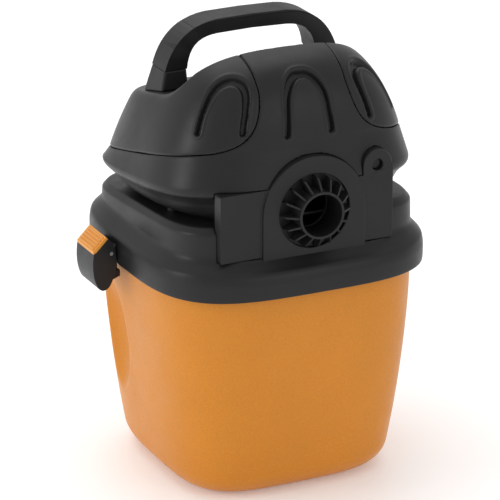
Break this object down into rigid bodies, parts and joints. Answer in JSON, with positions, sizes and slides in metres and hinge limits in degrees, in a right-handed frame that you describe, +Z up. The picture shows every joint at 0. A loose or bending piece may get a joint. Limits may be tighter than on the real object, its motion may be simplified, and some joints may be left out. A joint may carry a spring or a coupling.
{
  "type": "shop vacuum",
  "caption": "Small wet and dry shop vacuum: square tank, domed motor head with carrying handle, side latches and finned exhaust port.",
  "frame": {"origin": "centre of the tank's foot, on the floor", "axes": "+Z up; the exhaust port faces -Y; the latches are on -X and +X"},
  "size_m": [0.28, 0.243, 0.371],
  "materials": {
    "tank_plastic": "satin moulded polypropylene, orange",
    "housing_plastic": "fine moulded texture, black",
    "grip_plastic": "softer moulded grip, charcoal",
    "inner_plastic": "moulded, dark grey",
    "pad_plastic": "moulded, orange",
    "rubber": "moulded rubber",
    "steel": "zinc plated",
    "iron": "stacked steel sheet",
    "copper": "enamelled copper wire",
    "bracket_metal": "pressed aluminium",
    "carbon": "pressed carbon",
    "holder_plastic": "moulded phenolic",
    "fan_plastic": "moulded, natural",
    "filter_foam": "open cell foam",
    "rocker_plastic": "moulded, red"
  },
  "bodies": {
    "tank": {"tank": "tank_plastic", "inlet_port": "housing_plastic", "inlet_deflector": "housing_plastic"},
    "head": {"lid_base": "housing_plastic", "lid_gasket": "rubber", "blower_plate": "housing_plastic", "plate_screws": "steel", "fan_housing": "inner_plastic", "fan_cover": "inner_plastic", "exhaust_duct": "inner_plastic", "main_housing": "housing_plastic", "side_cover_left": "housing_plastic", "side_cover_right": "housing_plastic", "exhaust_panel": "housing_plastic", "exhaust_port": "housing_plastic", "panel_screw": "steel", "handle_arch": "housing_plastic", "grip_pad": "grip_plastic", "handle_foot_left": "housing_plastic", "handle_foot_right": "housing_plastic", "handle_screws": "steel", "cover_screws": "steel", "motor_mount_lower": "rubber", "motor_mount_upper": "rubber", "lower_bracket": "bracket_metal", "upper_bracket": "bracket_metal", "motor_bolts": "steel", "stator_core": "iron", "field_coils": "copper", "brush_holders": "holder_plastic", "carbon_brushes": "carbon", "brush_springs": "steel", "lower_bearing": "steel", "upper_bearing": "steel", "filter_cage": "housing_plastic", "filter_sleeve": "filter_foam", "filter_band": "rubber", "switch_body": "inner_plastic", "cord_gland": "rubber", "motor_lead": "rubber", "latch_brackets": "housing_plastic", "latch_pins": "steel", "latch_springs": "steel"},
    "rotor": {"shaft": "steel", "armature_core": "iron", "armature_windings": "copper", "commutator": "copper", "cooling_fan": "fan_plastic", "impeller": "bracket_metal", "impeller_nut": "steel"},
    "latch_left": {"latch_lever_left": "housing_plastic", "latch_pad_left": "pad_plastic"},
    "latch_right": {"latch_lever_right": "housing_plastic", "latch_pad_right": "pad_plastic"},
    "float": {"float_ball": "fan_plastic"},
    "switch_rocker": {"switch_rocker": "rocker_plastic"}
  },
  "joints": [
    {"name": "head_lift", "type": "slide", "parent": "tank", "child": "head", "axis": [0, 0, 1], "range_m": [0, 0.09]},
    {"name": "rotor_spin", "type": "hinge", "parent": "head", "child": "rotor", "pos_m": [0, 0, 0.25], "axis": [0, 0, 1], "continuous": true},
    {"name": "latch_left_swing", "type": "hinge", "parent": "head", "child": "latch_left", "pos_m": [-0.124, 0.019, 0.19], "axis": [0, 1, 0], "range_deg": [0, 16], "stiffness_Nm_per_rad": 0.12, "springref_deg": -6.88},
    {"name": "latch_right_swing", "type": "hinge", "parent": "head", "child": "latch_right", "pos_m": [0.124, 0.019, 0.19], "axis": [0, -1, 0], "range_deg": [0, 16], "stiffness_Nm_per_rad": 0.12, "springref_deg": -6.88},
    {"name": "float_rise", "type": "slide", "parent": "head", "child": "float", "axis": [0, 0, 1], "range_m": [0, 0.035]},
    {"name": "rocker_tilt", "type": "hinge", "parent": "head", "child": "switch_rocker", "pos_m": [0, 0.0992, 0.268], "axis": [1, 0, 0], "range_deg": [0, 16]}
  ]
}
